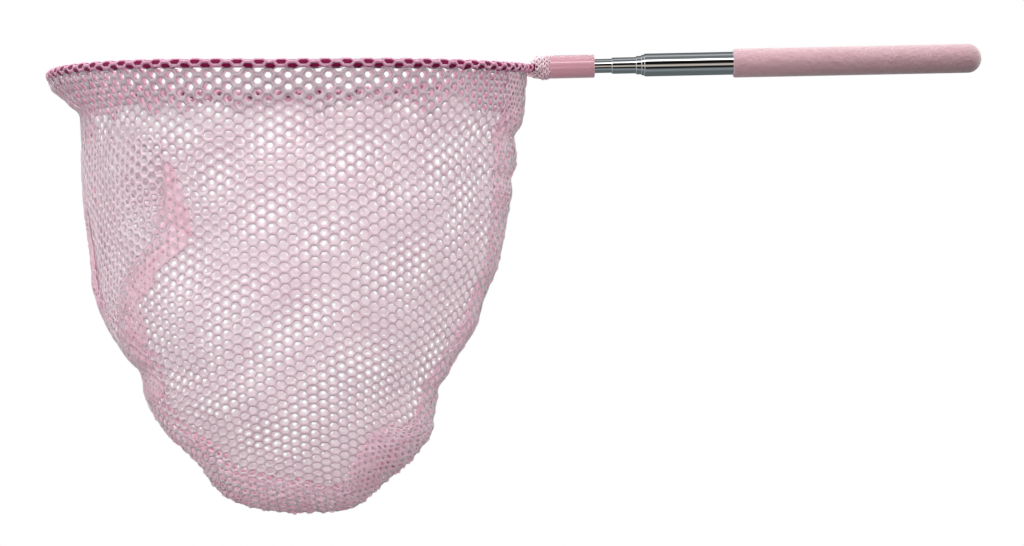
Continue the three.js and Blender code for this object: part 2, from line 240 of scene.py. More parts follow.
def smooth_line(points, at):
    """The value of a smooth line through points, at a place along it."""
    if at <= points[0][0]:
        return points[0][1]
    for i in range(len(points) - 1):
        (x0, y0), (x1, y1) = points[i], points[i + 1]
        if at > x1:
            continue
        before = points[max(i - 1, 0)]
        after = points[min(i + 2, len(points) - 1)]
        m0 = (y1 - before[1]) / (x1 - before[0])
        m1 = (after[1] - y0) / (after[0] - x0)
        h = x1 - x0
        t = (at - x0) / h
        return (
            y0 * (2 * t ** 3 - 3 * t ** 2 + 1)
            + m0 * h * (t ** 3 - 2 * t ** 2 + t)
            + y1 * (3 * t ** 2 - 2 * t ** 3)
            + m1 * h * (t ** 3 - t ** 2)
        )
    return points[-1][1]


def ease(t):
    """A smooth step from 0 to 1."""
    t = max(0, min(1, t))
    return t * t * (3 - 2 * t)


def hoop_height(x, y):
    """Height of the hoop's line: bowed at its sides, dipped past the neck, twisted at the far end."""
    tilt = HOOP_TILT * (0.5 + 0.5 * x / HOOP_RADIUS)
    twist = HOOP_TWIST * (y / HOOP_RADIUS) * max(0, -x / HOOP_RADIUS)
    past = ease((neck_x - x) / (2 * NECK_ROUND))
    bow = HOOP_BOW - (FRONT_LIFT if y < 0 else 0)
    return -bow * (y / HOOP_RADIUS) ** 2 - (HOOP_DIP + tilt) * past - twist


# Foam with a moulded skin, grained in the tool: satin pink, fine pebbles that break up the light
grip_foam, tree, shader, place = new_material("skinned foam, grained")
shader.inputs["Roughness"].default_value = 0.5
shader.inputs["Sheen Weight"].default_value = 0.95
shader.inputs["Sheen Roughness"].default_value = 0.6
pebbles = add(tree, "TexVoronoi", {"Vector": place, "Scale": 1 / (0.8 * MM), "Randomness": 0.9})
worn = add(tree, "TexNoise", {"Vector": place, "Scale": 1 / (9 * MM), "Detail": 3})
tint = add(tree, "ValToRGB", {"Fac": worn.outputs[0]})
tint.color_ramp.elements[0].color = linear("#dcaab5")
tint.color_ramp.elements[0].position = 0.3
tint.color_ramp.elements[1].color = linear("#e1b1bc")
tint.color_ramp.elements[1].position = 0.7
creases = add(tree, "TexNoise", {"Vector": place, "Scale": 1 / (2.6 * MM), "Detail": 3, "Roughness": 0.6})
fine = add(tree, "Bump", {"Height": pebbles.outputs["Distance"], "Strength": 0.5, "Distance": 0.14 * MM})
bump = add(tree, "Bump", {
    "Height": creases.outputs[0], "Strength": 0.9, "Distance": 0.8 * MM, "Normal": fine.outputs[0],
})
tree.links.new(tint.outputs[0], shader.inputs["Base Color"])
tree.links.new(bump.outputs[0], shader.inputs["Normal"])

# Stainless tube, drawn and polished: clear reflections with faint lengthwise lines, coarser than real ones
pole_steel, tree, shader, place = new_material("stainless tube, drawn and polished")
shader.inputs["Metallic"].default_value = 1
shader.inputs["Base Color"].default_value = linear("#dfe0e2")
drawn = add(tree, "Mapping", {"Vector": place, "Scale": (4, 1 / (0.25 * MM), 1 / (0.25 * MM))})
lines = add(tree, "TexNoise", {"Vector": drawn.outputs[0], "Scale": 1, "Detail": 2})
rough = add(tree, "MapRange", {"Value": lines.outputs[0], "To Min": 0.03, "To Max": 0.07})
bump = add(tree, "Bump", {"Height": lines.outputs[0], "Strength": 0.015, "Distance": 0.02 * MM})
tree.links.new(rough.outputs[0], shader.inputs["Roughness"])
tree.links.new(bump.outputs[0], shader.inputs["Normal"])

# Soft PVC sleeve, extruded: glossy pink, hardly any texture, a little uneven where it was cut
collar_pvc, tree, shader, place = new_material("soft PVC, extruded glossy")
shader.inputs["Roughness"].default_value = 0.2
shader.inputs["Coat Weight"].default_value = 1
shader.inputs["Coat Roughness"].default_value = 0.12
shader.inputs["Sheen Weight"].default_value = 1
shader.inputs["Sheen Roughness"].default_value = 0.5
cloud = add(tree, "TexNoise", {"Vector": place, "Scale": 1 / (4 * MM), "Detail": 2})
tint = add(tree, "ValToRGB", {"Fac": cloud.outputs[0]})
tint.color_ramp.elements[0].color = linear("#d397a4")
tint.color_ramp.elements[1].color = linear("#d79dab")
bump = add(tree, "Bump", {"Height": cloud.outputs[0], "Strength": 0.02, "Distance": 0.02 * MM})
tree.links.new(tint.outputs[0], shader.inputs["Base Color"])
tree.links.new(bump.outputs[0], shader.inputs["Normal"])


def yarn_material(name, pale, deep):
    """Textured polyester yarn, warp-knitted: soft, matt, with a faint sheen from its filaments."""
    material, tree, shader, place = new_material(name)
    shader.inputs["Roughness"].default_value = 0.8
    shader.inputs["Specular IOR Level"].default_value = 0.15
    shader.inputs["Sheen Weight"].default_value = 0.15
    shader.inputs["Sheen Roughness"].default_value = 0.5
    shader.inputs["Sheen Tint"].default_value = linear(pale)
    shader.inputs["Subsurface Weight"].default_value = 1
    shader.inputs["Subsurface Scale"].default_value = 2 * MM
    shader.inputs["Subsurface Radius"].default_value = (1, 0.8, 0.85)
    patches = add(tree, "TexNoise", {"Vector": place, "Scale": 1 / (14 * MM), "Detail": 4})
    tint = add(tree, "ValToRGB", {"Fac": patches.outputs[0]})
    tint.color_ramp.elements[0].color = linear(deep)
    tint.color_ramp.elements[0].position = 0.35
    tint.color_ramp.elements[1].color = linear(pale)
    tint.color_ramp.elements[1].position = 0.65
    # Real filaments are too fine to show, so these are coarser
    filaments = add(tree, "TexNoise", {"Vector": place, "Scale": 1 / (0.25 * MM), "Detail": 2})
    bump = add(tree, "Bump", {"Height": filaments.outputs[0], "Strength": 0.3, "Distance": 0.1 * MM})
    tree.links.new(tint.outputs[0], shader.inputs["Base Color"])
    tree.links.new(bump.outputs[0], shader.inputs["Normal"])
    return material


# The net is one yarn; each copy below is it painted lighter, darker or pinker for how light falls where it
# is used. Near panel: painted shade, greyer and darker than the lit yarn.
shaded_near_yarn = yarn_material("polyester yarn, knitted", "#cbbdc4", "#c2b2ba")
# Far panel: painted light, paler than the near panel, standing in for its lit inner face seen as a haze
# behind the near net.
lit_far_yarn = yarn_material("polyester yarn, far panel, painted lighter", "#d3c9cd", "#ccc0c5")
# Sewn edges and the gather's core: painted light, near white pink, lifting the shade of the stacked layers
# and standing in for light bounced between them.
lifted_seam_yarn = yarn_material("polyester yarn painted light, sewn edges", "#ffc8d7", "#fcb5c7")
# Pleat: painted light, lighter than the near panel, lifting the shade between its layers.
lifted_pleat_yarn = yarn_material("polyester yarn painted lighter, pleat", "#e9ced8", "#e0c2cd")
# Turned top: painted pinker than the near panel, standing in for light bounced between the stacked layers
# under the hem.
pinker_turned_yarn = yarn_material("polyester yarn painted pinker, turned top", "#ebbccc", "#e2adc0")
# Fold: painted lighter and pinker, lifting the shade of its squeezed layers.
lifted_fold_yarn = yarn_material("polyester yarn painted lighter, fold", "#e5bcc8", "#ddadbb")
# Gather: painted light, nearly white, lifting the shade of the bunch and standing in for the highlights on
# its frills.
lifted_gather_yarn = yarn_material("polyester yarn painted paler, gather", "#ffdce7", "#ffcad9")
# Hem and the far turned strip: painted deeper pink, standing in for the magenta tube's colour seen through
# the yarn and for the shade under the far hem.
deeper_hem_yarn = yarn_material("polyester yarn painted deeper, hem", "#e4a3bc", "#d88eab")

# PVC tube, extruded: deep magenta, satin, pushed over the hoop
hoop_pvc, tree, shader, place = new_material("PVC tube, extruded magenta")
shader.inputs["Roughness"].default_value = 0.55
shader.inputs["Specular IOR Level"].default_value = 0.2
streaks = add(tree, "TexNoise", {"Vector": place, "Scale": 1 / (6 * MM), "Detail": 2})
tint = add(tree, "ValToRGB", {"Fac": streaks.outputs[0]})
tint.color_ramp.elements[0].color = linear("#700636")
tint.color_ramp.elements[1].color = linear("#840b42")
tree.links.new(tint.outputs[0], shader.inputs["Base Color"])

# Spring wire, drawn: grey steel, finely mottled
wire_steel, tree, shader, place = new_material("spring wire, drawn")
shader.inputs["Metallic"].default_value = 1
shader.inputs["Roughness"].default_value = 0.35
grime = add(tree, "TexNoise", {"Vector": place, "Scale": 1 / (0.6 * MM), "Detail": 3})
tint = add(tree, "ValToRGB", {"Fac": grime.outputs[0]})
tint.color_ramp.elements[0].color = linear("#8f9195")
tint.color_ramp.elements[1].color = linear("#b9bbc0")
tree.links.new(tint.outputs[0], shader.inputs["Base Color"])

# Phosphor bronze strip, rolled: brown-gold, rubbed bright where it drags on the tube
clip_bronze, tree, shader, place = new_material("phosphor bronze strip, rolled")
shader.inputs["Metallic"].default_value = 1
shader.inputs["Roughness"].default_value = 0.3
rubbed = add(tree, "TexNoise", {"Vector": place, "Scale": 1 / (1.2 * MM), "Detail": 3})
tint = add(tree, "ValToRGB", {"Fac": rubbed.outputs[0]})
tint.color_ramp.elements[0].color = linear("#8c6a3a")
tint.color_ramp.elements[1].color = linear("#c79a5b")
tree.links.new(tint.outputs[0], shader.inputs["Base Color"])

# Polyethylene, moulded: milky plug with a fine moulded grain
plug_pe, tree, shader, place = new_material("polyethylene, moulded")
shader.inputs["Roughness"].default_value = 0.55
grain = add(tree, "TexNoise", {"Vector": place, "Scale": 1 / (0.4 * MM), "Detail": 2})
tint = add(tree, "ValToRGB", {"Fac": grain.outputs[0]})
tint.color_ramp.elements[0].color = linear("#dedad4")
tint.color_ramp.elements[1].color = linear("#ebe8e3")
bump = add(tree, "Bump", {"Height": grain.outputs[0], "Strength": 0.15, "Distance": 0.05 * MM})
tree.links.new(tint.outputs[0], shader.inputs["Base Color"])
tree.links.new(bump.outputs[0], shader.inputs["Normal"])


def turned(name, material, body, profile, rounds=()):
    """A turned piece on the pole's axis from (along, radius) in millimetres; rounds is (corner, radius).

    A profile that starts and ends off the axis is closed.
    """
    bm = bmesh.new()
    corners = [bm.verts.new((x * MM, 0, r * MM)) for x, r in profile]
    for a, b in zip(corners, corners[1:]):
        bm.edges.new((a, b))
    if min(profile[0][1], profile[-1][1]) > 0:
        bm.edges.new((corners[-1], corners[0]))
    for corner, radius in rounds:
        bmesh.ops.bevel(bm, geom=[corners[corner]], affect="VERTICES", offset=radius * MM,
                        offset_type="OFFSET", segments=5, profile=0.5, material=-1)
    bmesh.ops.spin(bm, geom=bm.verts[:] + bm.edges[:], cent=(0, 0, 0), axis=(1, 0, 0),
                   angle=2 * math.pi, steps=TURN_STEPS, use_merge=True)
    bmesh.ops.remove_doubles(bm, verts=bm.verts, dist=WELD)
    bmesh.ops.recalc_face_normals(bm, faces=bm.faces)
    return put(bm, name, material, body, rim=TURN_RIM)


# Grip: square front, slight taper, domed butt
grip_low, grip_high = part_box("grip_sleeve")
grip_front, grip_back = grip_low[0] / MM, grip_high[0] / MM
grip_bore = OUTER_TUBE_RADIUS + GRIP_CLEARANCE
bore_end = grip_back - GRIP_END_WALL
dome_start = grip_back - GRIP_DOME
grip = turned(
    "grip", grip_foam, "grip",
    [(bore_end, 0), (bore_end, grip_bore), (grip_front, grip_bore), (grip_front, GRIP_FRONT_RADIUS)]
    + [
        (dome_start + GRIP_DOME * math.sin(t), GRIP_BACK_RADIUS * math.cos(t))
        for t in (i * math.pi / 24 for i in range(12))
    ]
    + [(grip_back, 0)],
    rounds=[(3, GRIP_LIP)],
)
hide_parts("grip_sleeve")

# Collar: glossy sleeve with softened ends, its mouth wider than its bore
collar_front, collar_back = collar_low[0] / MM, collar_high[0] / MM
mouth_end = collar_front + COLLAR_MOUTH_DEPTH
collar = turned(
    "hoop_collar", collar_pvc, "head",
    [
        (collar_front, COLLAR_MOUTH), (collar_front, COLLAR_RADIUS), (collar_back, COLLAR_RADIUS),
        (collar_back, COLLAR_BORE), (mouth_end, COLLAR_BORE), (mouth_end, COLLAR_MOUTH),
    ],
    rounds=[(1, COLLAR_FRONT_LIP), (2, COLLAR_BACK_LIP)],
)
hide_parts("collar")

# Pole tubes: each nose rounded, and rolled in on all but the last; the foot of each sliding tube grooved
# for its clip
TUBE_BODIES = ["grip", "tube_2", "tube_3", "tube_4", "head"]
for i, body in enumerate(TUBE_BODIES):
    low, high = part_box(f"pole_tube_{i + 1}")
    nose, foot = low[0] / MM, high[0] / MM
    radius = OUTER_TUBE_RADIUS - i * TUBE_STEP
    inner = radius - TUBE_WALL
    roll = NOSE_ROLL if body != "head" else 0
    profile = [(nose, inner - roll)]
    profile += [
        (nose + NOSE_LENGTH - NOSE_LENGTH * math.cos(t), radius - NOSE_DROP + NOSE_DROP * math.sin(t))
        for t in (k * math.pi / 14 for k in range(8))
    ]
    if i:
        start, end = foot - CLIP_GROOVE_START, foot - CLIP_GROOVE_END
        groove = radius - CLIP_GROOVE_DEPTH
        profile += [(start, radius), (start, groove), (end, groove), (end, radius)]
    profile += [(foot, radius), (foot, inner), (nose + NOSE_THROAT, inner)]
    tube = turned(f"steel_tube_{i + 1}", pole_steel, body, profile)
    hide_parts(f"pole_tube_{i + 1}")

# Hidden pieces: the solids themselves, in their own materials
hidden = {"tube_end_plug": plug_pe, "hoop_wire": wire_steel}
hidden.update({f"friction_clip_{i}": clip_bronze for i in range(2, 6)})
for name, material in hidden.items():
    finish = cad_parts[name].data.materials
    finish.clear()
    finish.append(material)


def knit(columns, rows, across, down, keep, place, yarn_width, yarn_height):
    """Knitted net as a closed mesh: hexagons side by side, opened by an inset, set in place, made thick.

    Sizes are millimetres on the flat net: keep(u, v) says which cells stay, and place(u, v) gives the
    point in space.
    """
    bm = bmesh.new()
    half_down = down / 2
    bmesh.ops.create_circle(bm, cap_ends=True, radius=down / math.sqrt(3), segments=6)
    bmesh.ops.rotate(bm, verts=bm.verts, matrix=Matrix.Rotation(math.pi / 2, 3, "Z"))
    bmesh.ops.scale(bm, verts=bm.verts, vec=(across / (math.sqrt(3) * down), 1, 1))
    cell = bm.verts[:] + bm.edges[:] + bm.faces[:]
    for row in range(1, rows):
        copied = bmesh.ops.duplicate(bm, geom=cell)["geom"]
        bmesh.ops.translate(bm, verts=[g for g in copied if isinstance(g, bmesh.types.BMVert)],
                            vec=(0, row * down, 0))
    column = bm.verts[:] + bm.edges[:] + bm.faces[:]
    for i in range(1, columns):
        copied = bmesh.ops.duplicate(bm, geom=column)["geom"]
        bmesh.ops.translate(bm, verts=[g for g in copied if isinstance(g, bmesh.types.BMVert)],
                            vec=(i * across / 2, half_down * (i % 2), 0))
    bmesh.ops.translate(bm, verts=bm.verts, vec=(-(columns - 1) * across / 4, -half_down, 0))
    bmesh.ops.remove_doubles(bm, verts=bm.verts, dist=0.05 * down)
    knots = set(bm.verts)
    bmesh.ops.subdivide_edges(bm, edges=bm.edges, cuts=1)
    inner = [f for f in bm.faces if not any(e.is_boundary for e in f.edges)]
    kept = {f for f in inner if keep(*f.calc_center_median().xy)}
    yarns = {e for f in kept for e in f.edges}
    beside = {f for e in yarns for f in e.link_faces} - kept
    bmesh.ops.delete(bm, geom=[f for f in bm.faces if f not in kept and f not in beside], context="FACES")
    spine = {v for e in yarns for v in e.verts}
    holes = bm.faces[:]
    opened = bmesh.ops.inset_individual(bm, faces=holes, thickness=yarn_width / 2, use_even_offset=True)
    for hole in holes:
        middle = hole.calc_center_median()
        for v in hole.verts:
            at_knot = any(e.other_vert(v) in knots for e in v.link_edges)
            from_middle = (v.co - middle) * (HOLE_CORNERS if at_knot else HOLE_SIDES)
            v.co = middle + from_middle * Vector((HOLE_STRETCH, 1 / HOLE_STRETCH, 1))
    cut = [f for f in opened["faces"] if not yarns.intersection(f.edges)]
    bmesh.ops.delete(bm, geom=holes, context="FACES_ONLY")
    bmesh.ops.delete(bm, geom=cut, context="FACES")
    bmesh.ops.delete(bm, geom=[e for e in bm.edges if e.is_wire], context="EDGES")
    for v in bm.verts:
        v.co = place(v.co.x, v.co.y)
    bm.normal_update()
    upper = bm.verts[:]
    rise = {v: v.normal * yarn_height * MM for v in spine}
    made = bmesh.ops.duplicate(bm, geom=bm.verts[:] + bm.edges[:] + bm.faces[:])
    under = made["vert_map"]
    bmesh.ops.reverse_faces(bm, faces=[g for g in made["geom"] if isinstance(g, bmesh.types.BMFace)])
    for v, step in rise.items():
        v.co += step
        under[v].co -= step
    bmesh.ops.weld_verts(bm, targetmap={under[v]: v for v in upper if v not in rise})
    bmesh.ops.holes_fill(bm, edges=[e for e in bm.edges if e.is_boundary], sides=4)
    return bm


def bag_girth(depth):
    """How far down the bag a depth is, as a share, and how far a panel stands out there."""
    share = max(0, min(1, (depth - BAG_TOP) / (BAG_DEPTH - BAG_TOP)))
    return share, HOOP_RADIUS * (1 - share ** BAG_ROUNDNESS) ** BAG_TAPER


@lru_cache(maxsize=None)
def bag_section(tick):
    """Half a level section of the bag, from the left seam to the right one.

    Gives its points, the lengths along it and the length at the net's middle.
    """
    depth = tick / TICKS
    share, girth = bag_girth(depth)
    left, right = smooth_line(LEFT_EDGE, depth), smooth_line(RIGHT_EDGE, depth)
    points, lengths = [], [0]
    for i in range(SECTION_STEPS + 1):
        turn = math.pi * (1 - i / SECTION_STEPS)
        x = (left + right) / 2 + (right - left) / 2 * math.cos(turn)
        y = SEAM_SIDE + max(girth - SEAM_SIDE, 0) * max(math.sin(turn), 0) ** (1 + BAG_PINCH * share)
        points.append((x, y))
        if i:
            lengths.append(lengths[-1] + math.dist(points[-2], points[-1]))
    high = bisect(points, (NET_MIDDLE, 0), hi=SECTION_STEPS)
    low = max(high - 1, 0)
    before = points[low][0]
    t = (NET_MIDDLE - before) / (points[high][0] - before) if high else 0
    return points, lengths, lengths[low] + t * (lengths[high] - lengths[low])


def along_section(depth, length):
    """The point a length along the section at a depth, its outward normal, and the whole length."""
    points, lengths, _ = bag_section(round(depth * TICKS))
    length = max(0, min(lengths[-1], length))
    low = max(0, bisect(lengths, length, hi=len(lengths) - 1) - 1)
    (x0, y0), (x1, y1) = points[low], points[low + 1]
    step = lengths[low + 1] - lengths[low] or 1
    t = (length - lengths[low]) / step
    return (x0 + (x1 - x0) * t, y0 + (y1 - y0) * t), (-(y1 - y0) / step, (x1 - x0) / step), lengths[-1]


@lru_cache(maxsize=None)
def fall_line():
    """Lengths down the middle of a panel, one for each tick of depth."""
    lengths, before = [0], bag_girth(BAG_TOP)[1]
    for tick in range(round(BAG_TOP * TICKS) + 1, round(BAG_DEPTH * TICKS) + 1):
        girth = bag_girth(tick / TICKS)[1]
        lengths.append(lengths[-1] + math.hypot(1 / TICKS, girth - before))
        before = girth
    return lengths


def fall_depth(length):
    """The depth a length down the middle of a panel."""
    lengths = fall_line()
    low = max(0, min(len(lengths) - 2, bisect(lengths, length) - 1))
    t = (length - lengths[low]) / (lengths[low + 1] - lengths[low])
    return BAG_TOP + (low + t) / TICKS


def on_panel(u, v):
    """From the flat net to the depth, the length along its section, and the section's whole length.

    How far a row droops depends on the section it reaches, so the depth is found in three rounds.
    """
    bottom = fall_line()[-1]
    hung = fall_depth(min(v, bottom))
    slack = math.sin(math.pi * max(0, min(1, v / bottom)))
    depth = hung
    for _ in range(3):
        whole = along_section(depth, 0)[2]
        sideways = min(abs(2 * u / max(whole, 1)), 1)
        depth = min(hung + DROOP * sideways ** DROOP_POWER * slack, BAG_DEPTH - BAG_FLOOR)
    return depth, u + bag_section(round(depth * TICKS))[2], whole


def panel_place(side, inside, stray):
    """Gives the function that sets the flat net in place on the near side, -1, or the far one, 1."""
    def place(u, v):
        depth, length, whole = on_panel(u, v)
        length = max(0, min(whole, length))
        (x, y), (nx, ny), whole = along_section(depth, length)
        lift = -inside * (ease(length / PLEAT_RISE) if inside < 0 else 1)
        free = ease(depth / FREE_TOP)
        free *= ease(length / FREE_SIDE)
        free *= ease((whole - length) / FREE_SIDE)
        free *= ease((BAG_DEPTH - depth) / FREE_FOOT)
        billow = 0
        for (along, out, down), start, swell in BILLOWS:
            billow += noise.noise(Vector((x / along, side * start + y / out, depth / down))) * swell
        lift += billow * free
        rise = hoop_height(x, side * y) * (1 - bag_girth(depth)[0])
        at = Vector((u / WANDER_SIZE + 50, v / WANDER_SIZE, side * 11 + inside))
        wander = noise.noise_vector(at) * stray
        return Vector((
            HOOP_X + x + nx * lift + wander.x,
            side * (y + ny * lift),
            rise - depth + wander.z * free,
        )) * MM
    return place


def panel(
    side, shift, inside=0, top=0, foot=math.inf, cell=(CELL_ACROSS, CELL_DOWN), yarn=YARN_WIDTH,
    part=None, stray=YARN_STRAY,
):
    """Half of the bag's net: shift slides the knit sideways, top and foot are where it starts and ends.

    A negative inside puts it outside, part(depth, x) says which of it stays, and stray is how far its
    yarns wander.
    """
    place = panel_place(side, inside, stray)
    across, down = cell
    foot = min(foot, fall_line()[-1])

    def keep(u, v):
        depth, length, whole = on_panel(u + shift, v + top)
        if part and not part(depth, along_section(depth, length)[0][0]):
            return False
        if whole <= LEAST_SECTION or not -SEAM_OVERLAP < length < whole + SEAM_OVERLAP:
            return False
        return v > down / 4 and v + top < foot

    columns = 2 * math.ceil((math.pi * HOOP_RADIUS + PANEL_SPARE) / across)
    rows = math.ceil((foot - top) / down) + 3
    return knit(
        columns, rows, across, down, keep, lambda u, v: place(u + shift, v + top), yarn, YARN_HEIGHT,
    )


def bag_net(name, material, *layers, rim=0):
    """Puts layers of net together as one piece of the bag."""
    bm = bmesh.new()
    for layer in layers:
        mesh = bpy.data.meshes.new(name)
        layer.to_mesh(mesh)
        layer.free()
        bm.from_mesh(mesh)
        bpy.data.meshes.remove(mesh)
    made = put(bm, name, material, "head", rim=rim)
    return made


net_front = bag_net("bag_net_front", shaded_near_yarn, panel(-1, 0))
net_back = bag_net("bag_net_back", lit_far_yarn, panel(1, 2.1, yarn=BACK_YARN_WIDTH), rim=YARN_RIM)


def turned_in(depth, x):
    """Whether the net's turned top reaches a depth: its end is uneven."""
    return depth < TURNED_DEPTH + TURNED_UNEVEN * noise.noise(Vector((x / 11, 8, 2)))


# Top of the net, turned over the hoop and down inside
turned_front = bag_net("turned_net_front", pinker_turned_yarn, panel(
    -1, 0, inside=TURNED_INSIDE, foot=TURNED_DEPTH + TURNED_UNEVEN, yarn=2.4, part=turned_in,
))
turned_back = bag_net("turned_net_back", deeper_hem_yarn, panel(
    1, 1.1, inside=TURNED_INSIDE, top=-3.6, foot=1, cell=(5.6, 3.2),
))


def beside_fold(depth, x):
    """Whether the pleat's flat net covers a place: from the left seam to the fold, with an uneven top."""
    upper = PLEAT_TOP + 9 * noise.noise(Vector((x / 9, 5, 1)))
    return x < smooth_line(PLEAT_LINE, depth) - PLEAT_FOLD / 2 and upper < depth < PLEAT_FOOT


def on_fold(depth, x):
    """Whether the pleat's fold covers a place: a band along its line, frayed, pointed at the top."""
    frayed = 1 + 0.55 * noise.noise(Vector((x / 4, depth / 6, 3)))
    away = abs(x - smooth_line(PLEAT_LINE, depth)) / (PLEAT_FOLD * frayed)
    return away < 1 and FOLD_TOP + FOLD_POINT * away * frayed < depth < PLEAT_FOOT


# Pleat: spare net laid over the front's left, squeezed into a fold along its edge
pleat = bag_net("net_pleat", lifted_pleat_yarn, panel(-1, 1.7, inside=-1, cell=(7, 4.2), part=beside_fold))
fold_layer = panel(-1, 0.6, inside=-1, cell=(4.4, 2.9), yarn=2, part=on_fold, stray=0.6)
fold = bag_net("pleat_fold", lifted_fold_yarn, fold_layer, rim=YARN_RIM)
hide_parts("net_panel_front")
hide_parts("net_panel_back")


def hoop_line():
    """The hoop's centre line from neck to neck, in millimetres about the hoop's middle."""
    shares = [NECK_TURN_SHARE + i * (1 - NECK_TURN_SHARE) / NECK_STEPS for i in range(NECK_STEPS)]
    first = [
        (neck_x - NECK_ROUND * math.sin(t), neck_y - NECK_ROUND * math.cos(t))
        for t in (share * (math.pi / 2 - neck_angle) for share in shares)
    ]
    arc = [
        (HOOP_RADIUS * math.cos(a), HOOP_RADIUS * math.sin(a))
        for a in (neck_angle + i / HOOP_STEPS * 2 * (math.pi - neck_angle) for i in range(HOOP_STEPS + 1))
    ]
    last = [(x, -y) for x, y in reversed(first)]
    return [Vector((x, y, hoop_height(x, y))) for x, y in first + arc + last]


hoop_points = hoop_line()
hoop_lengths = [0]
for a, b in zip(hoop_points, hoop_points[1:]):
    hoop_lengths.append(hoop_lengths[-1] + (b - a).length)


def along_hoop(length):
    """Point and direction a length along the hoop's line."""
    low = max(0, min(len(hoop_lengths) - 2, bisect(hoop_lengths, length) - 1))
    a, b = hoop_points[low], hoop_points[low + 1]
    t = (length - hoop_lengths[low]) / (hoop_lengths[low + 1] - hoop_lengths[low])
    return a.lerp(b, t), (b - a).normalized()


# Hem: the net's top, turned over the hoop and stretched round it
hem_pitch = hoop_lengths[-1] / HEM_CELLS
hem_round = 2 * math.pi * HEM_RADIUS


def hem_place(u, v):
    """Sets the flat hem round the hoop, u along it and v about it."""
    point, ahead = along_hoop(max(0, min(hoop_lengths[-1], u + hoop_lengths[-1] / 2)))
    outward = ahead.cross(Vector((0, 0, 1))).normalized()
    angle = v / HEM_RADIUS - HEM_START + 0.15 * noise.noise(Vector((u / 90, 2, 7)))
    wander = 1 + 0.07 * noise.noise(Vector((u / 5, v * 2, 4)))
    spot = point + (outward * math.cos(angle) + Vector((0, 0, math.sin(angle)))) * HEM_RADIUS * wander
    return (spot + Vector((HOOP_X, 0, 0))) * MM


bm = knit(
    2 * HEM_CELLS, HEM_ROUNDS + 2, hem_pitch, hem_round / HEM_ROUNDS,
    lambda u, v: 1 < v < hem_round * 1.01, hem_place, HEM_YARN_WIDTH, HEM_YARN_HEIGHT,
)
hem = put(bm, "net_hem_over_hoop", deeper_hem_yarn, "head")
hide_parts("net_hem")

# Plastic tube over the hoop, seen through the hem
line = bpy.data.curves.new("hoop_line", "CURVE")
line.dimensions = "3D"
line.bevel_depth = COVER_RADIUS * MM
line.bevel_resolution = 4
line.use_fill_caps = True
spline = line.splines.new("POLY")
spline.points.add(len(hoop_points) - 1)
for spot, point in zip(hoop_points, spline.points):
    point.co = (*((spot + Vector((HOOP_X, 0, 0))) * MM), 1)
swept = bpy.data.objects.new("hoop_line", line)
scene.collection.objects.link(swept)
bpy.context.view_layer.update()
bm = bmesh.new()
bm.from_mesh(swept.to_mesh())
bpy.data.objects.remove(swept)
bmesh.ops.remove_doubles(bm, verts=bm.verts, dist=WELD)
bmesh.ops.recalc_face_normals(bm, faces=bm.faces)
sleeve = put(bm, "hoop_tube_cover", hoop_pvc, "head")
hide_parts("hoop_sleeve")

# Gather: the hem's two ends drawn together and stuffed into the collar
gather_front, gather_back = collar_front - GATHER_OUTSIDE, collar_front + GATHER_INSIDE


def gather_spot(share, angle, swell):
    """A point on the bunched net, from the hem's ends at 0 to inside the collar at 1."""
    wide = 5.2 - 0.9 * share
    high = 2.4 + 2.2 * ease(share * 2.4)
    if share > GATHER_NECK:
        wide = high = 4.4 - 6 * (share - GATHER_NECK)
    ruck = 0.97 + 0.08 * math.sin(7 * angle + 9 * share)
    ruck += 0.12 * noise.noise(Vector((share * 4, 2 * math.cos(angle), 2 * math.sin(angle))))
    x = gather_front + (gather_back - gather_front) * share
    low = -0.7 * ease(1 - share * 2)
    y = wide * swell * ruck * math.cos(angle)
    z = low + high * swell * ruck * math.sin(angle)
    return Vector((x, y, z)) * MM


def gather_place(u, v):
    """Sets flat knit round the bunch, u along the pole and v about it."""
    share = max(0, min(1, u / GATHER_LENGTH + 0.5))
    return gather_spot(share, 2 * math.pi * v / GATHER_ROUND, 1)


bm = bmesh.new()
bmesh.ops.create_uvsphere(bm, u_segments=40, v_segments=20, radius=1)
for v in bm.verts:
    share = 0.06 + 0.88 * math.acos(max(-1, min(1, v.co.z))) / math.pi
    ring = math.hypot(v.co.x, v.co.y)
    v.co = gather_spot(share, math.atan2(v.co.y, v.co.x), 0.84 * min(1, ring * 2.2))
bmesh.ops.recalc_face_normals(bm, faces=bm.faces)
bunch = put(bm, "gathered_net_core", lifted_seam_yarn, "head")
bm = knit(
    12, GATHER_ROWS + 2, 4, GATHER_ROUND / GATHER_ROWS, lambda u, v: 1 < v < GATHER_ROUND * 1.01,
    gather_place, 1.3, 0.4,
)
gather = put(bm, "gathered_net", lifted_gather_yarn, "head", rim=YARN_RIM)
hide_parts("net_gather")

# Seam: both panels' edges turned in and sewn, so the net is squeezed into a band round the outline
outline = [(depth, smooth_line(LEFT_EDGE, depth)) for depth in range(2, 180)]
outline += [(BAG_DEPTH, x) for x in (-2, 7, 14)]
outline += [(depth, smooth_line(RIGHT_EDGE, depth)) for depth in range(179, 1, -1)]
outline_lengths = [0]
for a, b in zip(outline, outline[1:]):
    outline_lengths.append(outline_lengths[-1] + math.dist(a, b))


def bag_side(depth, x):
    """How far a panel stands out from the seam's plane."""
    share, girth = bag_girth(depth)
    left, right = smooth_line(LEFT_EDGE, depth), smooth_line(RIGHT_EDGE, depth)
    along = max(-1, min(1, (2 * x - left - right) / max(right - left, 1)))
    return SEAM_SIDE + max(girth - SEAM_SIDE, 0) * (1 - along * along) ** ((1 + BAG_PINCH * share) / 2)


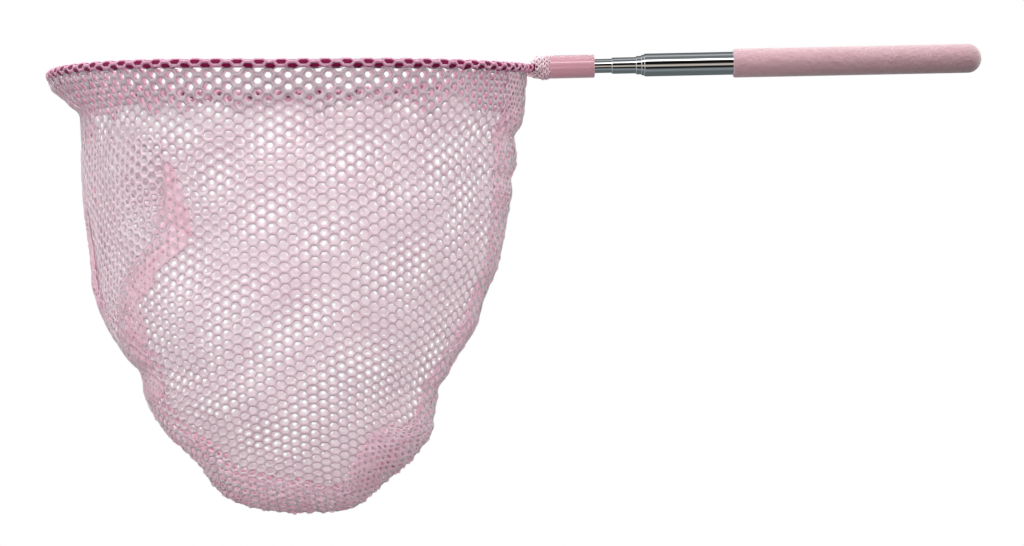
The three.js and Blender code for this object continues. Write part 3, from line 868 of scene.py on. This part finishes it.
def along_outline(length):
    """The point (x, height) a length along the bag's outline, from the hoop's left end to its right."""
    length = max(0, min(outline_lengths[-1], length))
    low = max(0, min(len(outline) - 2, bisect(outline_lengths, length) - 1))
    t = (length - outline_lengths[low]) / (outline_lengths[low + 1] - outline_lengths[low])
    depth, x = Vector(outline[low]).lerp(Vector(outline[low + 1]), t)
    return Vector((x, -depth))


def seam_place(layer):
    """Gives the function that sets a flat strip along the outline, u along it and v in from it."""
    def place(u, v):
        at = u + outline_lengths[-1] / 2
        ahead = (along_outline(at + SEAM_AHEAD) - along_outline(at - SEAM_AHEAD)).normalized()
        x, height = along_outline(at)
        wide = smooth_line(SEAM_WIDTHS, math.degrees(math.atan2(x, -height - SEAM_EYE)))
        reach = v / SEAM_FLAT * wide
        depth, x = -height - ahead.x * reach, x - ahead.y * reach
        sway = noise.noise_vector(Vector((at / 7, v / 4, layer * 5))) * SEAM_SWAY
        rise = hoop_height(x, 0) * (1 - bag_girth(depth)[0])
        return (Vector((HOOP_X + x, layer * bag_side(depth, x), rise - depth)) + sway) * MM
    return place


def seam_strip(layer, across, rows, yarn):
    """One layer of the seam; layer is its place from the back panel at 1 to the front one at -1."""
    return knit(
        2 * round(outline_lengths[-1] / across), rows + 2, across, SEAM_FLAT / rows,
        lambda u, v: 1 < v < SEAM_FLAT, seam_place(layer), yarn, SEAM_YARN_HEIGHT,
    )


sewn_strips = [seam_strip(layer, 4.4, 6, 1.45) for layer in (-1.04, 1.04)]
seam = bag_net("sewn_net_edge", lifted_seam_yarn, *sewn_strips, rim=YARN_RIM)
turned_strips = [seam_strip(layer, 6, 4, 2) for layer in (-0.5, 0.5)]
edge = bag_net("turned_net_edge", lifted_seam_yarn, *turned_strips)
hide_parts("bag_seam")

# Camera: level with the bag's middle, square to the pole, rolled a little
lens = bpy.data.cameras.new("camera")
lens.sensor_width = 36
lens.lens = 113.7
camera = bpy.data.objects.new("camera", lens)
camera.matrix_world = (
    Matrix.Translation((-0.1433, -1.326, -0.0841))
    @ Matrix.Rotation(math.radians(1.2), 4, "Y")
    @ Matrix.Rotation(math.pi / 2, 4, "X")
)
scene.collection.objects.link(camera)
scene.camera = camera


def lamp(name, at, towards, size, power):
    """A white soft box aimed at a point: it lights surfaces, while gloss shows the room's own bands."""
    light = bpy.data.lights.new(name, "AREA")
    light.shape = "RECTANGLE"
    light.size, light.size_y = size
    light.energy = power
    made = bpy.data.objects.new(name, light)
    aim = Vector(towards) - Vector(at)
    made.matrix_world = Matrix.Translation(at) @ aim.to_track_quat("-Z", "Y").to_matrix().to_4x4()
    made.visible_glossy = False
    made.visible_camera = False
    scene.collection.objects.link(made)
    return made


lamp("overhead_box", (-0.1, -0.2, 0.9), (-0.14, 0, 0), (1.6, 0.6), 5.2)
bag_box = lamp("bag_box", (-0.3, -1.1, -0.24), (-0.25, 0, -0.1), (0.3, 0.12), 0.2)
bag_box.data.spread = math.radians(24)

# Room: white behind and for the camera, with the lit and dark bands that polished tube shows
world = bpy.data.worlds.new("studio")
scene.world = world
world.use_nodes = True
tree = world.node_tree
tree.nodes.clear()
toward = add(tree, "SeparateXYZ", {0: add(tree, "TexCoord").outputs["Generated"]})
ahead = add(tree, "Math", {0: toward.outputs["Y"], 1: -1}, operation="MULTIPLY")
angle = add(tree, "Math", {0: toward.outputs["Z"], 1: ahead.outputs[0]}, operation="ARCTAN2")
turn = add(tree, "MapRange", {"Value": angle.outputs[0], "From Min": -math.pi, "From Max": math.pi})
bands = add(tree, "ValToRGB", {"Fac": turn.outputs[0]})
ramp = bands.color_ramp
PAPER, WALL, WARM, LAMP, FLAG = "#e8e8e8", "#687072", "#efe4d6", "#ffffff", "#0a0a0a"
LAMP_LEVEL = 4.5
# Each band is a colour at an angle about the pole: 0 is the near side, 90 overhead
ROOM_BANDS = [
    (-180, PAPER), (-165, WALL), (-82, WALL), (-57, "#9aa1a6"), (-46, WALL), (-37, FLAG), (-26, FLAG),
    (-11, WARM), (4, FLAG), (25, FLAG), (34, "#909090"), (38, LAMP), (43, LAMP), (50, "#b0b0b0"),
    (64, "#747b7d"), (80, "#7c8385"), (94, "#dadadc"), (108, "#8a8f90"), (143, "#4c4c4e"), (180, PAPER),
]
while len(ramp.elements) < len(ROOM_BANDS):
    ramp.elements.new(0.5)
for element, (degrees, colour) in zip(ramp.elements, ROOM_BANDS):
    element.position = (degrees + 180) / 360
    element.color = [c * (LAMP_LEVEL if colour == LAMP else 1) for c in linear(colour)]
left = add(tree, "MapRange", {
    "Value": toward.outputs["X"], "From Min": -0.4, "From Max": -0.8, "To Min": 0, "To Max": 1,
})
glossy = add(tree, "MixRGB", {
    "Fac": left.outputs[0], "Color1": bands.outputs[0], "Color2": (1.3, 1.3, 1.3, 1),
})
# For matt surfaces: more from above, a bright wall behind the net, a little from in front
above = add(tree, "MapRange", {
    "Value": toward.outputs["Z"], "From Min": -0.6, "From Max": 0.7, "To Min": 0.05, "To Max": 0.75,
})
behind = add(tree, "MapRange", {
    "Value": toward.outputs["Y"], "From Min": 0, "From Max": 0.5, "To Min": 0, "To Max": 1.2,
})
high = add(tree, "MapRange", {
    "Value": toward.outputs["Z"], "From Min": -0.5, "From Max": 0.1, "To Min": 0.2, "To Max": 1,
})
wall = add(tree, "Math", {0: behind.outputs[0], 1: high.outputs[0]}, operation="MULTIPLY")
near = add(tree, "MapRange", {
    "Value": ahead.outputs[0], "From Min": 0, "From Max": 0.8, "To Min": 0, "To Max": 0.08,
})
walls = add(tree, "Math", {0: near.outputs[0], 1: wall.outputs[0]}, operation="ADD")
matt = add(tree, "Math", {0: above.outputs[0], 1: walls.outputs[0]}, operation="ADD")
path = add(tree, "LightPath")
plain = add(tree, "MixRGB", {
    "Fac": path.outputs["Is Glossy Ray"], "Color1": matt.outputs[0], "Color2": glossy.outputs[0],
})
seen = add(tree, "Math", {
    0: path.outputs["Is Camera Ray"], 1: path.outputs["Is Transmission Ray"],
}, operation="MAXIMUM")
sky = add(tree, "MixRGB", {"Fac": seen.outputs[0], "Color1": plain.outputs[0], "Color2": (1, 1, 1, 1)})
background = add(tree, "Background", {"Color": sky.outputs[0], "Strength": 1})
add(tree, "OutputWorld", {"Surface": background.outputs[0]})

# Floor: pale, matt, under the hanging bag
bm = bmesh.new()
bmesh.ops.create_circle(bm, cap_ends=True, radius=1.3, segments=96)
bmesh.ops.translate(bm, verts=bm.verts, vec=(-0.14, 0, -0.32))
# Paper: flat white without gloss
paper, _, shader, _ = new_material("paper, matt white")
shader.inputs["Base Color"].default_value = linear("#f4f4f3")
shader.inputs["Roughness"].default_value = 0.9
mesh = bpy.data.meshes.new("floor")
bm.to_mesh(mesh)
bm.free()
mesh.materials.append(paper)
floor = bpy.data.objects.new("floor", mesh)
scene.collection.objects.link(floor)
floor.visible_glossy = False
floor.visible_diffuse = False

bpy.context.view_layer.update()
